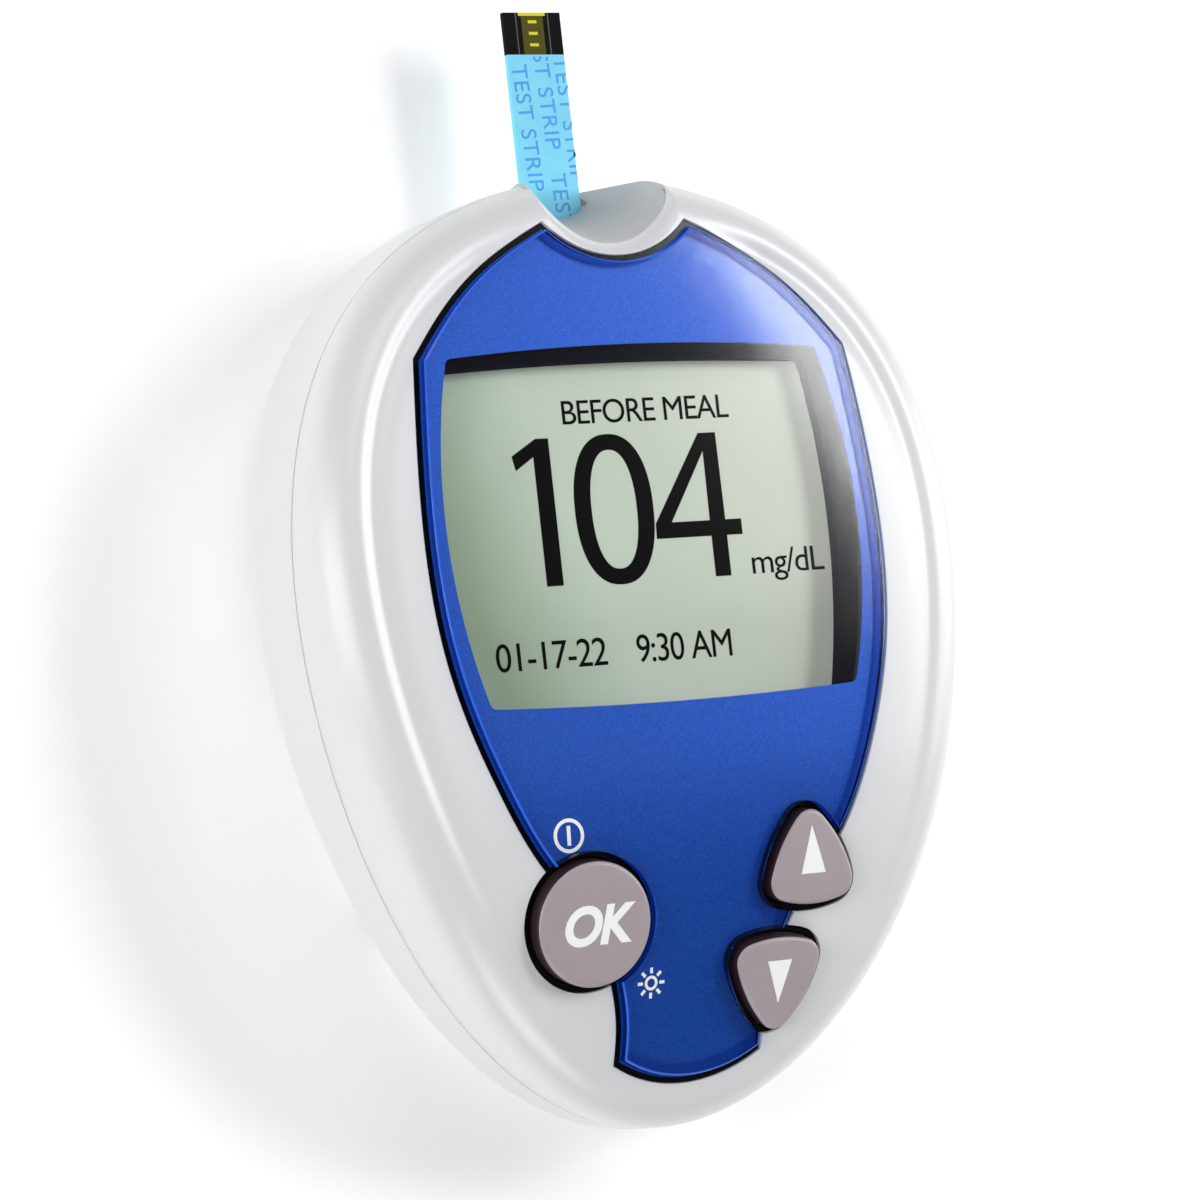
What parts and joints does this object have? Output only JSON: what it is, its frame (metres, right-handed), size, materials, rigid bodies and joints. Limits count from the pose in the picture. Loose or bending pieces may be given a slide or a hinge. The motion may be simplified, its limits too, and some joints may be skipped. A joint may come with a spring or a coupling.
{
  "type": "blood glucose meter",
  "caption": "Egg-shaped hand-held blood glucose meter with a display, a round and two arrow buttons, a test strip in its port and a sliding battery door.",
  "frame": {"origin": "on the flat back of the casing, under the middle of the casing's length and width", "axes": "+X to the right seen from the display, +Y towards the end that takes the test strip, +Z out of the display"},
  "size_m": [0.0606, 0.0951, 0.0219],
  "materials": {
    "casing": "satin silver-white",
    "faceplate_clear": "clear, polished",
    "faceplate_blue": "metallic blue ink under clear plastic",
    "tray_black": "gloss",
    "frame_navy": "satin",
    "lcd": "matt polariser",
    "guide": "frosted",
    "zebra": "matt",
    "led": "gloss",
    "board": "solder mask",
    "chip": "matt",
    "tin": "plated",
    "tantalum": "matt",
    "port": "satin grey",
    "connector": "matt",
    "gold": "plated",
    "strip": "printed film",
    "jack": "matt",
    "button": "satin mauve-grey",
    "dome": "plated",
    "cell": "printed wrap"
  },
  "bodies": {
    "meter": {"front_housing": "casing", "rear_housing": "casing", "faceplate_lens": "faceplate_clear", "faceplate_film": "faceplate_blue", "faceplate_tray": "tray_black", "display_frame": "frame_navy", "display_glass": "lcd", "light_guide": "guide", "zebra_strip": "zebra", "backlight_leds": "led", "circuit_board": "board", "microcontroller": "chip", "memory_chip": "chip", "crystal": "tin", "capacitor": "tantalum", "strip_port": "port", "strip_connector": "connector", "data_jack": "jack", "ok_dome": "dome", "up_dome": "dome", "down_dome": "dome", "strip_contact_left": "gold", "strip_contact_middle": "gold", "strip_contact_right": "gold", "battery_left": "cell", "battery_right": "cell", "battery_spring_left": "tin", "battery_spring_right": "tin", "battery_plate_left": "tin", "battery_plate_right": "tin", "screw_1": "tin", "screw_2": "tin", "screw_3": "tin", "screw_4": "tin"},
    "test_strip": {"test_strip": "strip"},
    "battery_door": {"battery_door": "casing"},
    "ok_button": {"ok_button": "button"},
    "up_button": {"up_button": "button"},
    "down_button": {"down_button": "button"}
  },
  "joints": [
    {"name": "ok_button_press", "type": "slide", "parent": "meter", "child": "ok_button", "axis": [0, 0.2113, -0.9774], "range_m": [0, 0.0005], "stiffness_N_per_m": 2000},
    {"name": "up_button_press", "type": "slide", "parent": "meter", "child": "up_button", "axis": [0, 0.1484, -0.9889], "range_m": [0, 0.0005], "stiffness_N_per_m": 2000},
    {"name": "down_button_press", "type": "slide", "parent": "meter", "child": "down_button", "axis": [0, 0.3161, -0.9487], "range_m": [0, 0.0005], "stiffness_N_per_m": 2000},
    {"name": "battery_door_slide", "type": "slide", "parent": "meter", "child": "battery_door", "axis": [0, -1, 0], "range_m": [0, 0.056]},
    {"name": "test_strip_slide", "type": "slide", "parent": "meter", "child": "test_strip", "axis": [0, 1, 0], "range_m": [0, 0.018]}
  ]
}
